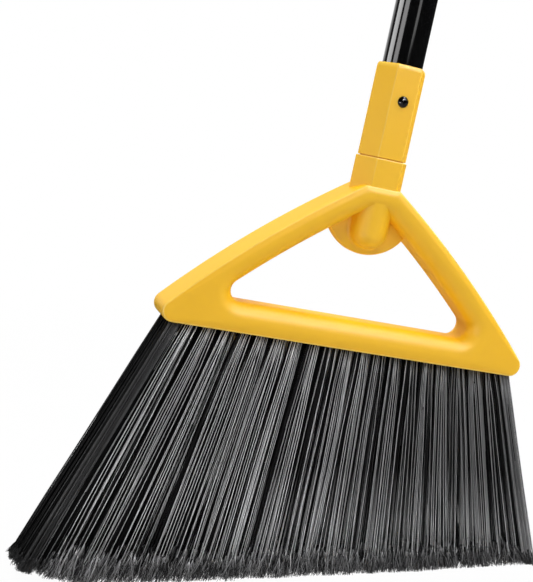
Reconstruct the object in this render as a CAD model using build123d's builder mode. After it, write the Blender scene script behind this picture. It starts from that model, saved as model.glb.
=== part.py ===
"""Angle broom: moulded triangular head, fanned bristle tufts, hexagonal ferrule and coated steel handle.

Millimetres, +Z up, +X to the right of the sweeping face, the front faces -Y. The floor is Z = 0, where the
bristles are trimmed, and the handle's axis meets the floor at the origin. Heights are measured along the
handle's axis from the base of the head.
"""

import os
from math import atan, cos, degrees, floor, hypot, radians, sin, tan

from build123d import *

# Stance: the trim is cut at this angle to the base of the head, so the handle leans by it
handle_lean = 8.0
bristle_length = 146.0

# Head moulding
base_half = 130.7
crown_half = 11.4
head_height = 103.6
head_depth = 33.0
side_bow = 4.5
corner_radius = 7.0
crown_radius = 1.5
rim_bevel = 0.8
side_bar = 15.6
base_bar = 18.2
window_corner = 7.0
window_peak = 5.0
window_roll = 10.0
web_radius = 30.0
web_height = 90.0
web_thickness = 6.0
web_bevel = 1.0
web_bite = 2.0

# Socket and its hexagonal stub
boss_half_width = 12.0
boss_half_depth = 15.5
boss_floor = 7.0
boss_round = 8.5
boss_top = 98.0
stub_flats = 30.2
stub_height = 17.4
stub_root = 7.0
hex_corner = 1.2
stub_lip = 0.5

# Ferrule
ferrule_flats = 28.6
ferrule_length = 58.3
shoulder_height = 3.0
shoulder_step = 1.3
ferrule_floor = 5.0
spigot_diameter = 19.05
spigot_length = 44.0
spigot_lead = 1.5
socket_clearance = 0.3
socket_gap = 5.0

# Handle
handle_diameter = 25.4
coating = 0.4
tube_wall = 0.6
tube_length = 1168.0
bond_gap = 0.02
slip_gap = 0.1
coating_squeeze = 0.2

# Screw that pins the ferrule to the handle
screw_height = 36.2
screw_head_diameter = 7.0
screw_head_height = 1.8
screw_shank_diameter = 3.5
screw_length = 10.0
screw_seat_gap = 0.05
screw_hole_gap = 0.3

# Hang-up cap
cap_height = 42.0
cap_collar = 10.0
cap_bevel = 1.5
cap_plug_depth = 24.0
cap_plug_lead = 1.5
eye_width = 21.0
eye_thickness = 13.0
hang_hole_diameter = 10.0

# Tuft field
tuft_pitch = 11.05
row_pitch = 5.4
row_count = 5
tuft_diameter = 5.5
field_margin = 1.0
backing_thickness = 8.0
seat_gap = 0.05
staple_thickness = 0.5
staple_width = 4.6
staple_height = 2.2

# Bristles: each strand stands for a bundle of filaments
strands_round = 3
strand_ring = 1.8
strand_sides = 3
strand_radius = 1.0
strand_bite = 0.5
longest_strand = 173.0
fan_lean = 0.29
edge_flare = 0.12
depth_splay = 0.05
trim_allowance = 4.0

# Places that follow from the sizes above
axis_way = Vector(sin(radians(handle_lean)), 0, cos(radians(handle_lean)))
across_way = Vector(cos(radians(handle_lean)), 0, -sin(radians(handle_lean)))
seam_height = head_height + stub_height
socket_floor = seam_height - spigot_length - socket_gap
boss_end = socket_floor - boss_floor
tube_foot = seam_height + ferrule_floor
tube_head = tube_foot + tube_length
handle_radius = handle_diameter / 2
tube_radius = handle_radius - coating - bond_gap
tube_bore = tube_radius - tube_wall
ferrule_top = seam_height + ferrule_length
ferrule_bore = handle_radius - coating_squeeze + slip_gap
screw_seat = ferrule_flats / 2 + screw_seat_gap
screw_hole = screw_shank_diameter / 2 + screw_hole_gap

handle_axis = Axis((0, 0, 0), axis_way)

side_run = base_half - crown_half
side_angle = degrees(atan(head_height / side_run))
bow_angle = 2 * degrees(atan(2 * side_bow / hypot(side_run, head_height)))
corner_setback = corner_radius / tan(radians((side_angle + bow_angle) / 2))
field_half = base_half - corner_setback - field_margin
rank_count = floor((2 * field_half - tuft_diameter) / tuft_pitch) + 1
first_tuft = -tuft_pitch * (rank_count - 1) / 2
field_length = tuft_pitch * (rank_count - 0.5)
field_depth = row_pitch * row_count
front_row = -row_pitch * (row_count - 1) / 2


def level(height):
    """Plane square to the handle's axis, its X across the head and its Y to the back."""
    return Plane(axis_way * (bristle_length + height), across_way, axis_way)


def upright(height, toward_front=0.0):
    """Plane that faces the front, its X across the head and its Y up the handle."""
    origin = axis_way * (bristle_length + height) - Vector(0, toward_front, 0)
    return Plane(origin, across_way, (0, -1, 0))


def on_front_or_back(edge):
    """True for an edge that lies on the head's front or back face."""
    return abs(abs(edge.center().Y) - head_depth / 2) < 0.01


def on_web_rim(edge):
    """True for an edge on the front or back of the web's round rim."""
    return abs(edge.radius - web_radius) < 0.01 and abs(abs(edge.center().Y) - web_thickness / 2) < 0.01


def save(piece, name):
    """Label a finished piece and write it."""
    piece.part.label = name
    export_step(piece.part, f"parts/{name}.step")


def head_outline():
    """Sharp outline of the head: flat base, two bowed sides and a short flat crown."""
    with BuildSketch() as outline:
        with BuildLine():
            Line((0, 0), (base_half, 0))
            SagittaArc((base_half, 0), (crown_half, head_height), -side_bow)
            Line((crown_half, head_height), (0, head_height))
            mirror(about=Plane.YZ)
        make_face()
    return outline.sketch


def inner_outline(side_width):
    """Outline of the window with square corners, this far in from the head's sides."""
    with BuildSketch() as inner:
        add(head_outline())
        offset(amount=-side_width, kind=Kind.INTERSECTION)
        with Locations((0, base_bar)):
            Rectangle(2 * base_half, head_height, align=(Align.CENTER, Align.MAX), mode=Mode.SUBTRACT)
    return inner.sketch


os.makedirs("parts", exist_ok=True)

# Socket boss: flat-sided round pillar with a rounded foot, for the head to take in
with BuildPart() as socket_boss:
    with BuildSketch(level(boss_end)):
        SlotOverall(2 * boss_half_depth, 2 * boss_half_width, rotation=90)
    extrude(amount=boss_top - boss_end)
    fillet(socket_boss.edges().sort_by(handle_axis)[0], boss_round)

# Head: bowed triangle with crisp outer rims, a window whose edges roll over, a web and a closed socket
with BuildPart() as head_frame:
    with BuildSketch(upright(0)) as outer:
        add(head_outline())
        low_corners = outer.vertices().group_by(Axis.Y)[0]
        fillet(low_corners, corner_radius)
        high_corners = outer.vertices().group_by(Axis.Y)[-1]
        fillet(high_corners, crown_radius)
    extrude(amount=head_depth / 2, both=True)
    chamfer(head_frame.edges().filter_by(on_front_or_back), rim_bevel)
    with BuildSketch(upright(0)) as window:
        add(inner_outline(side_bar))
        fillet(window.vertices().group_by(Axis.Y)[-1], window_peak)
        fillet(window.vertices().group_by(Axis.Y)[0], window_corner)
    extrude(amount=head_depth, both=True, mode=Mode.SUBTRACT)
    crown_wall = head_height - window.sketch_local.bounding_box().max.Y
    roll_limit = min(side_bar, base_bar, crown_wall, head_depth / 2) - 2 * rim_bevel
    window_rims = head_frame.edges(Select.LAST).filter_by(on_front_or_back)
    fillet(window_rims, min(window_roll, roll_limit))
    with BuildSketch(upright(0)) as web:
        with Locations((0, web_height)):
            Circle(web_radius)
        add(inner_outline(side_bar - web_bite), mode=Mode.INTERSECT)
    extrude(amount=web_thickness / 2, both=True)
    web_edges = head_frame.edges(Select.LAST).filter_by(GeomType.CIRCLE).filter_by(on_web_rim)
    chamfer(web_edges, web_bevel)
    add(socket_boss.part)
    with BuildSketch(level(head_height - stub_root)) as stub:
        RegularPolygon(stub_flats / 2, 6, major_radius=False)
        fillet(stub.vertices(), hex_corner)
    extrude(amount=stub_root + stub_height)
    chamfer(head_frame.edges().group_by(handle_axis)[-1], stub_lip)
    with BuildSketch(level(seam_height)):
        Circle(spigot_diameter / 2 + socket_clearance)
    extrude(amount=socket_floor - seam_height, mode=Mode.SUBTRACT)
    with BuildSketch(level(0)):
        Rectangle(field_length + 2 * seat_gap, field_depth + 2 * seat_gap)
    extrude(amount=backing_thickness + seat_gap, mode=Mode.SUBTRACT)
save(head_frame, "head_frame")

# Ferrule: hexagonal sleeve with a sloped shoulder, a blind bore for the handle and a spigot for the socket
with BuildPart() as ferrule:
    with BuildSketch(level(seam_height)) as sleeve:
        RegularPolygon(ferrule_flats / 2, 6, major_radius=False)
        fillet(sleeve.vertices(), hex_corner)
    extrude(amount=ferrule_length - shoulder_height)
    extrude(
        ferrule.faces().sort_by(handle_axis)[-1],
        amount=shoulder_height,
        taper=degrees(atan(shoulder_step / shoulder_height)),
    )
    with BuildSketch(level(seam_height)):
        Circle(spigot_diameter / 2)
    extrude(amount=-spigot_length)
    chamfer(ferrule.edges().sort_by(handle_axis)[0], spigot_lead)
    with BuildSketch(level(tube_foot)):
        Circle(ferrule_bore)
    extrude(amount=ferrule_length, mode=Mode.SUBTRACT)
    with BuildSketch(upright(seam_height + screw_height)):
        Circle(screw_hole)
    extrude(amount=ferrule_flats, mode=Mode.SUBTRACT)
save(ferrule, "ferrule")

# Handle: thin steel tube in a black coating that the ferrule squeezes, both drilled for the screw
with BuildPart() as handle_tube:
    with BuildSketch(level(tube_foot)):
        Circle(tube_radius)
        Circle(tube_bore, mode=Mode.SUBTRACT)
    extrude(amount=tube_length)
    with BuildSketch(upright(seam_height + screw_height)):
        Circle(screw_hole)
    extrude(amount=handle_diameter, mode=Mode.SUBTRACT)
save(handle_tube, "handle_tube")

with BuildPart() as handle_coating:
    with BuildSketch(level(tube_foot)):
        Circle(handle_radius - coating_squeeze)
    extrude(amount=tube_length)
    with BuildSketch(level(ferrule_top)):
        Circle(handle_radius)
    extrude(amount=tube_head - ferrule_top)
    with BuildSketch(level(tube_foot)):
        Circle(tube_radius + bond_gap)
    extrude(amount=tube_length, mode=Mode.SUBTRACT)
    with BuildSketch(upright(seam_height + screw_height)):
        Circle(screw_hole)
    extrude(amount=handle_diameter, mode=Mode.SUBTRACT)
save(handle_coating, "handle_coating")

# Screw: low head that bears on the ferrule, its shank through the wall of the handle
with BuildPart() as ferrule_screw:
    with BuildSketch(upright(seam_height + screw_height, screw_seat)):
        Circle(screw_head_diameter / 2)
    extrude(amount=screw_head_height)
    with BuildSketch(upright(seam_height + screw_height, screw_seat)):
        Circle(screw_shank_diameter / 2)
    extrude(amount=-screw_length)
save(ferrule_screw, "ferrule_screw")

# Hang-up cap: plug in the tube, round collar flush with the handle and a flat eye with a round top
with BuildPart() as hang_cap:
    with BuildSketch(level(tube_head)):
        Circle(handle_radius)
    extrude(amount=cap_collar)
    chamfer(hang_cap.edges().sort_by(handle_axis)[-1], cap_bevel)
    with BuildSketch(level(tube_head)):
        Circle(tube_bore - slip_gap)
    extrude(amount=-cap_plug_depth)
    chamfer(hang_cap.edges().sort_by(handle_axis)[0], cap_plug_lead)
    with BuildSketch(upright(tube_head + cap_height - eye_width / 2)):
        Circle(eye_width / 2)
        Rectangle(eye_width, cap_height - eye_width / 2, align=(Align.CENTER, Align.MAX))
        Circle(hang_hole_diameter / 2, mode=Mode.SUBTRACT)
    extrude(amount=eye_thickness / 2, both=True)
save(hang_cap, "hang_cap")


def lean(place):
    """Slope of a bristle away from the handle's axis: an even fan along the base, flared at its ends."""
    share = place / field_half
    return fan_lean * share + edge_flare * share**3


def splay(place):
    """Slope of a bristle to the front or back, by its place across the depth of the head."""
    return depth_splay * place / (field_depth / 2)


def strand(across, depth):
    """One faceted strand from inside the backing to just past the floor, or to its full length."""
    base = level(strand_bite) * Pos(across, depth)
    way = (across_way * lean(across) + Vector(0, splay(depth), 0) - axis_way).normalized()
    to_floor = base.position.Z / -way.Z
    root = base * RegularPolygon(strand_radius, strand_sides, rotation=90)
    return extrude(root, amount=min(longest_strand, to_floor + trim_allowance), dir=way)


def tufts_of(rank):
    """Places of one rank's tufts: every other row stands half a pitch further along."""
    for row in range(row_count):
        stagger = row % 2
        if stagger == 0 or rank < rank_count - 1:
            yield first_tuft + tuft_pitch * (rank + stagger / 2), front_row + row_pitch * row


def strands_of(rank):
    """All strands of one rank: in each tuft one in the middle and the others in a ring round it."""
    for across, depth in tufts_of(rank):
        yield strand(across, depth)
        for place in PolarLocations(strand_ring, strands_round, start_angle=-90):
            yield strand(across + place.position.X, depth + place.position.Y)


# Bristles: one node per rank across the head, its strands fused to their slice of the backing
for rank in range(rank_count):
    strands = list(strands_of(rank))
    last = rank == rank_count - 1
    slice_length = tuft_pitch / 2 if last else tuft_pitch
    slice_middle = first_tuft + tuft_pitch * rank - tuft_pitch / 4 + slice_length / 2
    with BuildPart() as tuft_rank:
        with BuildSketch(level(0)):
            with Locations((slice_middle, 0)):
                Rectangle(slice_length - 2 * seat_gap, field_depth)
        extrude(amount=backing_thickness)
        with BuildSketch(level(backing_thickness)):
            with Locations(*tufts_of(rank)):
                Rectangle(staple_thickness + 2 * seat_gap, staple_width + 2 * seat_gap)
        extrude(amount=-staple_height, mode=Mode.SUBTRACT)
        add(strands)
        split(bisect_by=Plane.XY)
    save(tuft_rank, "tuft_rank_end" if last else f"tuft_rank_{rank + 1:02d}")

# Staples: a flat wire anchor in the root of every tuft
with BuildPart() as tuft_staples:
    with BuildSketch(level(backing_thickness)):
        for rank in range(rank_count):
            with Locations(*tufts_of(rank)):
                Rectangle(staple_thickness, staple_width)
    extrude(amount=-staple_height)
save(tuft_staples, "tuft_staples")
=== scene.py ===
"""Looks of the angle broom: smooth mouldings, bristles with split tips, coated handle, screw and studio.

Metres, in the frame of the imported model: the floor is Z = 0, the front faces -Y, and the handle's axis leaves
the origin and leans to +X. Places on the broom are given across the head, up the handle from the base of the
head, and in depth, positive to the back.
"""

from math import atan2, cos, pi, radians, sin, sqrt

import bmesh
import bpy
import numpy as np
from mathutils import Matrix, Vector
from mathutils.kdtree import KDTree


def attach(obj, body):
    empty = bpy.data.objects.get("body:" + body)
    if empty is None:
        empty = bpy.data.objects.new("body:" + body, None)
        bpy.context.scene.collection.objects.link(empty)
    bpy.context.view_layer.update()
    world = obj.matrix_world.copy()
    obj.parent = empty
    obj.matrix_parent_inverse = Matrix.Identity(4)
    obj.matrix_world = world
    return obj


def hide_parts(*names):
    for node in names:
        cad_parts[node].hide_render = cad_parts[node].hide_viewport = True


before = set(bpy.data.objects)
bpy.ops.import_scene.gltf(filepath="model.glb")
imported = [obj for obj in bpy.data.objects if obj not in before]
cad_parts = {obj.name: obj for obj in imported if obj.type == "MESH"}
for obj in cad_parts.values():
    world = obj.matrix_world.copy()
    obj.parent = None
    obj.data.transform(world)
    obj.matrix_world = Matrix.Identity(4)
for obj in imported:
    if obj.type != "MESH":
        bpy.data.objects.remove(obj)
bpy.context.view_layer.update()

bl_info = {
    "name": "Angle Broom Looks",
    "version": (1, 0, 0),
    "blender": (4, 5, 0),
    "location": "3D View > Sidebar > Broom",
    "description": "Dresses the packed angle broom with mouldings, bristles, finishes, a screw and a studio",
    "category": "Object",
}

MM = 0.001

# Stance of the head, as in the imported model
HANDLE_LEAN = radians(8.0)
BASE_HEIGHT = 146.0 * MM
ACROSS = Vector((cos(HANDLE_LEAN), 0, -sin(HANDLE_LEAN)))
UP = Vector((sin(HANDLE_LEAN), 0, cos(HANDLE_LEAN)))
BACK = Vector((0, 1, 0))

# Head moulding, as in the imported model
BASE_HALF = 130.7 * MM
CROWN_HALF = 11.4 * MM
HEAD_HEIGHT = 103.6 * MM
HEAD_HALF_DEPTH = 16.5 * MM
SIDE_BOW = 4.5 * MM
CORNER_RADIUS = 7.0 * MM
CROWN_RADIUS = 1.5 * MM
SIDE_BAR = 15.6 * MM
BASE_BAR = 18.2 * MM
WINDOW_CORNER = 7.0 * MM
WINDOW_PEAK = 5.0 * MM
WINDOW_ROLL = 11.0 * MM
ROLL_FULLNESS = 2.2
WEB_RADIUS = 30.0 * MM
WEB_UP = 90.0 * MM
WEB_HALF = 3.0 * MM
BOSS_HALF_WIDTH = 12.0 * MM
BOSS_HALF_DEPTH = 15.5 * MM
BOSS_FOOT_UP = 65.0 * MM
BOSS_ROUND = 8.5 * MM
BOSS_TOP_UP = 98.0 * MM

# Stub, ferrule and screw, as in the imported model
STUB_FLATS = 30.2 * MM
STUB_ROOT_UP = 96.6 * MM
SEAM_UP = 121.0 * MM
SOCKET_RADIUS = 9.825 * MM
SOCKET_FLOOR_UP = 72.0 * MM
FERRULE_FLATS = 28.6 * MM
FERRULE_TOP_UP = 179.3 * MM
SHOULDER_HEIGHT = 3.0 * MM
SHOULDER_STEP = 1.3 * MM
HEX_CORNER = 1.2 * MM
SPIGOT_RADIUS = 9.525 * MM
SPIGOT_LENGTH = 44.0 * MM
SPIGOT_LEAD = 1.5 * MM
FERRULE_BORE = 12.6 * MM
TUBE_FOOT_UP = 126.0 * MM
SCREW_UP = 157.2 * MM
SCREW_SEAT = 14.35 * MM
SCREW_HOLE = 2.05 * MM

# Tuft field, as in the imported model
TUFT_PITCH = 11.05 * MM
ROW_PITCH = 5.4 * MM
ROW_COUNT = 5
RANK_COUNT = 21
FIELD_HALF = 113.8 * MM
FIELD_LENGTH = TUFT_PITCH * (RANK_COUNT - 0.5)
FIELD_DEPTH = ROW_PITCH * ROW_COUNT
BACKING = 8.0 * MM
SEAT_GAP = 0.05 * MM
FAN_LEAN = 0.29
EDGE_FLARE = 0.12
DEPTH_SPLAY = 0.05
LONGEST_BRISTLE = 173.0 * MM


def on_broom(across, up, depth=0.0):
    """Point of the scene for a place on the broom."""
    return ACROSS * across + UP * (BASE_HEIGHT + up) + BACK * depth


def all_on_broom(places):
    """Points of the scene for an array of places (across, up, depth) on the broom."""
    stand = np.array([ACROSS, UP, BACK])
    return np.asarray(places) @ stand + np.array(UP * BASE_HEIGHT)


def moved(points, aside):
    """Points of the scene after steps (across, depth) on the broom."""
    return points + aside[..., :1] * np.array(ACROSS) + aside[..., 1:] * np.array(BACK)


def tufts_of(rank):
    """Places of one rank's tufts as (across, row): every other row stands half a pitch further along."""
    first = -TUFT_PITCH * (RANK_COUNT - 1) / 2
    for row in range(ROW_COUNT):
        stagger = row % 2
        if stagger == 0 or rank < RANK_COUNT - 1:
            yield first + TUFT_PITCH * (rank + stagger / 2), row


def row_depth(row):
    """Depth of a row of tufts."""
    return ROW_PITCH * (row - (ROW_COUNT - 1) / 2)


def property_maker(kind, **settings):
    """Maker of one kind of property from a name, a description and a default."""
    def make(name, description, default):
        return kind(name=name, description=description, default=default, **settings)
    return make


length_prop = property_maker(bpy.props.FloatProperty, unit="LENGTH")
share_prop = property_maker(bpy.props.FloatProperty, subtype="FACTOR")
power_prop = property_maker(bpy.props.FloatProperty, unit="POWER")
colour_prop = property_maker(bpy.props.FloatVectorProperty, subtype="COLOR", min=0, max=1)


class BroomMoulding(bpy.types.PropertyGroup):
    """Softness of the mouldings."""

    rim_round: length_prop("Rim", "Radius of the head's outer rims", 1.4 * MM)
    face_crown: length_prop("Crown", "How far the front and back fall off to the rims", 0.9 * MM)
    boss_fillet: length_prop("Boss fillet", "Fillet of the socket boss on the web", 2.6 * MM)
    web_round: length_prop("Web rim", "Radius of the web's rim", 1.2 * MM)
    lip_round: length_prop("Lip", "Radius of the stub's lip", 0.6 * MM)
    seam_round: length_prop("Seam", "Radius of the ferrule's lower rim", 0.4 * MM)
    seam_gap: length_prop("Seam gap", "Height of the gap between stub and ferrule", 0.5 * MM)
    tuft_hole: length_prop("Tuft hole", "Diameter of a hole that holds a tuft", 4.8 * MM)


class BroomBristles(bpy.types.PropertyGroup):
    """Shape of the bristles."""

    filament_diameter: length_prop("Filament", "Diameter of a filament", 0.9 * MM)
    outer_diameter: length_prop("Outer filament", "Diameter of the outermost filaments", 0.56 * MM)
    leg_width: length_prop("Leg width", "Half width of a leg along the head", 1.5 * MM)
    leg_depth: length_prop("Leg depth", "Half depth of a leg", 2.2 * MM)
    root_parting: length_prop("Root parting", "Half the distance of a tuft's legs at the root", 1.3 * MM)
    outer_parting: length_prop("Outer parting", "Half the distance of the legs of an outer tuft", 2.7 * MM)
    inner_parting: length_prop("Inner parting", "Half the distance of the legs of an inner tuft", 1.2 * MM)
    parting_length: length_prop("Parting length", "Most length over which the legs part", 70 * MM)
    spread: share_prop("Spread", "Share by which a tuft widens towards its tips", 0.3)
    end_spread: share_prop(
        "End spread", "Further share by which the tufts widen at the ends of the head", 0.3
    )
    leg_drift: length_prop("Leg drift", "How far a leg strays at its tips", 1.0 * MM)
    drift: length_prop("Drift", "How far a filament strays at its tip", 0.8 * MM)
    wave: length_prop("Wave", "Height of the slow waves along a filament", 0.15 * MM)
    split_hairs: bpy.props.IntProperty(
        name="Split hairs", description="Fine hairs that each outer tip is split into", default=18, min=1
    )
    split_length: length_prop("Split length", "Usual length of the split tips", 13 * MM)
    split_diameter: length_prop("Split hair", "Diameter of a split hair", 0.36 * MM)
    split_flare: length_prop("Split flare", "How far the hairs of a tip stray", 2.6 * MM)
    raggedness: length_prop("Raggedness", "How uneven the trim of the tips is", 0.2 * MM)
    seed: bpy.props.IntProperty(name="Seed", description="Seed of the random layout", default=7)


class BroomFinish(bpy.types.PropertyGroup):
    """Colours of the finishes."""

    plastic: colour_prop("Plastic", "Yellow of the head and ferrule", (0.95, 0.535, 0.008))
    plastic_deep: colour_prop("Deep plastic", "Yellow where the pigment is denser", (0.94, 0.505, 0.006))
    # The edge yellow is a painted highlight: marked rims are mixed towards it as if their rounding caught the
    # lamps
    plastic_edge_highlight: colour_prop("Plastic edge", "Yellow of rims that are rubbed pale", (1.0, 0.75, 0.22))
    bristle: colour_prop("Bristle", "Black of the bristles", (0.004, 0.004, 0.0043))
    # Pale grey mixed in filament by filament: a painted highlight on the glossy black filaments, and on the
    # split tips their own paler frayed ends together with painted sheen
    bristle_pale_and_sheen: colour_prop(
        "Pale bristle", "Grey of the palest bristles and split tips", (0.93, 0.93, 0.95)
    )
    coating: colour_prop("Coating", "Black of the handle's coating", (0.0012, 0.0012, 0.0013))
    cap: colour_prop("Cap", "Black of the hang-up cap", (0.012, 0.012, 0.013))
    screw: colour_prop("Screw", "Blackened steel of the screw", (0.07, 0.07, 0.073))
    steel: colour_prop("Steel", "Bare steel of the tube and staples", (0.55, 0.56, 0.57))


class BroomStage(bpy.types.PropertyGroup):
    """Light, floor and backdrop."""

    floor_white: share_prop(
        "Floor white", "Share of plain white in the floor, which keeps the rest for the shadow", 0.965
    )
    mirrored_floor: share_prop("Mirrored floor", "Share of the floor's white that shows in gloss", 0.5)
    fill: bpy.props.FloatProperty(
        name="Fill", description="Strength of the light from all round", default=0.15
    )
    right: power_prop("Right", "Power of the large soft lamp on the right", 16.0)
    back: power_prop("Back", "Power of the soft lamp high at the back on the left", 11.0)
    left: power_prop("Left", "Power of the soft lamp on the left", 3.3)
    top: power_prop("Top", "Power of the soft lamp high before the head", 6.0)
    front: power_prop("Front", "Power of the soft lamp before the head", 1.6)


# Places of a mix node's sockets: its two colours and their mix, then its two values and their mix
COLOUR_A, COLOUR_B, MIXED_COLOUR = 6, 7, 2
VALUE_A, VALUE_B, MIXED_VALUE = 2, 3, 0


def feed(tree, node, inputs):
    """Give a node's inputs these values, or link them to the (node, output) that is given."""
    for entry, value in inputs.items():
        if isinstance(value, tuple) and isinstance(value[0], bpy.types.Node):
            tree.links.new(value[0].outputs[value[1]], node.inputs[entry])
        else:
            node.inputs[entry].default_value = value


def add_node(tree, kind, inputs=None, **settings):
    """Shader node of this kind, with its settings by name, and its inputs fed."""
    node = tree.nodes.new("ShaderNode" + kind)
    for name, value in settings.items():
        setattr(node, name, value)
    feed(tree, node, inputs or {})
    return node


def calculated(tree, operation, first, second):
    """Output of a math node."""
    return add_node(tree, "Math", {0: first, 1: second}, operation=operation), "Value"


def new_group(name, entries, results):
    """Empty shader node group with these entries and their defaults, and these results, and its two ends."""
    group = bpy.data.node_groups.new(name, "ShaderNodeTree")
    for label, default in entries.items():
        kind = "NodeSocketColor" if isinstance(default, tuple) else "NodeSocketFloat"
        group.interface.new_socket(label, in_out="INPUT", socket_type=kind).default_value = default
    for label, kind in results.items():
        group.interface.new_socket(label, in_out="OUTPUT", socket_type=kind)
    return group, group.nodes.new("NodeGroupInput"), group.nodes.new("NodeGroupOutput")


def mottle_group():
    """Group that drifts between two colours in soft clouds over the piece."""
    entries = {"Colour": (0.5, 0.5, 0.5, 1), "Other colour": (0.4, 0.4, 0.4, 1), "Scale": 30.0}
    group, start, end = new_group("Mottle", entries, {"Colour": "NodeSocketColor"})
    place = add_node(group, "TexCoord"), "Object"
    cloud = add_node(group, "TexNoise", {"Vector": place, "Scale": (start, "Scale"), "Detail": 4})
    mix = add_node(group, "Mix", {
        "Factor": (cloud, 0), COLOUR_A: (start, "Colour"), COLOUR_B: (start, "Other colour"),
    }, data_type="RGBA")
    feed(group, end, {"Colour": (mix, MIXED_COLOUR)})


def grain_group():
    """Group for the fine grain that a mould or a coat of paint leaves, and the uneven gloss with it."""
    entries = {"Scale": 900.0, "Low roughness": 0.3, "High roughness": 0.5}
    results = {"Height": "NodeSocketFloat", "Roughness": "NodeSocketFloat"}
    group, start, end = new_group("Grain", entries, results)
    place = add_node(group, "TexCoord"), "Object"
    pores = add_node(group, "TexNoise", {"Vector": place, "Scale": (start, "Scale"), "Detail": 2})
    gloss = add_node(group, "MapRange", {
        "Value": (pores, 0), "To Min": (start, "Low roughness"), "To Max": (start, "High roughness"),
    })
    feed(group, end, {"Height": (pores, 0), "Roughness": (gloss, "Result")})


def group_node(tree, name, inputs):
    """Node that places a group, with its inputs fed."""
    return add_node(tree, "Group", inputs, node_tree=bpy.data.node_groups[name])


def new_material(name):
    """Material with only a Principled shader, and its tree and shader."""
    material = bpy.data.materials.new(name)
    material.use_nodes = True
    return material, material.node_tree, material.node_tree.nodes["Principled BSDF"]


def opaque(colour):
    """Colour with full alpha, for a colour socket."""
    return (*colour, 1.0)


# Finishes: two colours, scales of their clouds and of the grain, least and most roughness, relief and
# plain values of the shader
FINISHES = {
    "Yellow plastic": (
        ("plastic", "plastic_deep"), (18, 1500), (0.4, 0.5), 0.01 * MM, {"Specular IOR Level": 0.4}
    ),
    "Black coating": (("coating", "bristle"), (25, 700), (0.07, 0.12), 0.002 * MM, {}),
    "Tube steel": (("steel", "screw"), (90, 1200), (0.25, 0.4), 0.004 * MM, {"Metallic": 1.0}),
    "Cap plastic": (("cap", "coating"), (40, 1500), (0.4, 0.55), 0.015 * MM, {}),
    "Blackened steel": (("screw", "cap"), (400, 2500), (0.12, 0.2), 0.004 * MM, {"Metallic": 1.0}),
}


def finish_material(name):
    """Material of one finish: two drifting colours, and fine grain as relief and gloss."""
    colours, scales, roughness, relief, constants = FINISHES[name]
    material, tree, shader = new_material(name)
    colour, other = (opaque(getattr(bpy.context.scene.broom_finish, label)) for label in colours)
    mottle = group_node(tree, "Mottle", {"Colour": colour, "Other colour": other, "Scale": scales[0]})
    mottle.name = "Mottle"
    grain = group_node(tree, "Grain", {
        "Scale": scales[1], "Low roughness": roughness[0], "High roughness": roughness[1],
    })
    bump = add_node(tree, "Bump", {"Distance": relief, "Height": (grain, "Height")})
    feed(tree, shader, {
        "Base Color": (mottle, "Colour"), "Roughness": (grain, "Roughness"), "Normal": (bump, "Normal"),
        **constants,
    })
    return material


def yellow_plastic():
    """Yellow moulded plastic, with a painted highlight in pale yellow along the rims that the mesh marks."""
    if "Yellow plastic" in bpy.data.materials:
        return bpy.data.materials["Yellow plastic"]
    material = finish_material("Yellow plastic")
    tree = material.node_tree
    # Painted highlight: the rim marks mix the pale edge yellow in along the rims
    rim = add_node(tree, "Attribute", attribute_name="rim"), "Fac"
    pale = opaque(bpy.context.scene.broom_finish.plastic_edge_highlight)
    highlighted = add_node(tree, "Mix", {
        "Factor": rim, COLOUR_A: (tree.nodes["Mottle"], "Colour"), COLOUR_B: pale,
    }, data_type="RGBA")
    feed(tree, tree.nodes["Principled BSDF"], {"Base Color": (highlighted, MIXED_COLOUR)})
    return material


# Sharp edges of the mouldings, and how near a place is to the rim that it was cut from
SHARP_ANGLE = radians(30)
RIM_REACH = 0.01 * MM


def wear(piece, material):
    """Put a material on every slot of a piece."""
    if not piece.data.materials:
        piece.data.materials.append(material)
    for slot in piece.material_slots:
        slot.material = material


def placed(name, data):
    """Object of the scene with this data."""
    thing = bpy.data.objects.new(name, data)
    bpy.context.scene.collection.objects.link(thing)
    return thing


def new_piece(name, mesh, body, slot, material, *replaced):
    """Finished piece of the scene that rides on a body and may stand for nodes of the model."""
    piece = placed(name, mesh)
    wear(piece, material)
    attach(piece, body)
    if replaced:
        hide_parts(*replaced)
    return piece


def mesh_from(name, shape):
    """Mesh of a bmesh, which is freed."""
    mesh = bpy.data.meshes.new(name)
    shape.to_mesh(mesh)
    shape.free()
    return mesh


def loft(name, rings, rims=None, closed=False):
    """Closed mesh over rings of as many places each, capped at its ends or closed on itself.

    rings holds (ring, place, xyz) on the broom, and rims how much of a rim each place is.
    """
    rings = np.asarray(rings)
    count, around, _ = rings.shape
    index = np.arange(count * around).reshape(count, around)
    low = index if closed else index[:-1]
    high = np.roll(index, -1, axis=0) if closed else index[1:]
    walls = np.stack([low, np.roll(low, -1, axis=1), np.roll(high, -1, axis=1), high], -1)
    faces = walls.reshape(-1, 4).tolist()
    if not closed:
        faces += [index[0, ::-1].tolist(), index[-1].tolist()]
    mesh = bpy.data.meshes.new(name)
    mesh.from_pydata(all_on_broom(rings).reshape(-1, 3).tolist(), [], faces)
    marks = np.zeros((count, around)) if rims is None else np.broadcast_to(rims, (count, around))
    rim = mesh.attributes.new("rim", "FLOAT", "POINT")
    rim.data.foreach_set("value", marks.astype(np.float32).ravel())
    outward = bmesh.new()
    outward.from_mesh(mesh)
    bmesh.ops.recalc_face_normals(outward, faces=outward.faces)
    outward.to_mesh(mesh)
    outward.free()
    return mesh


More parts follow.
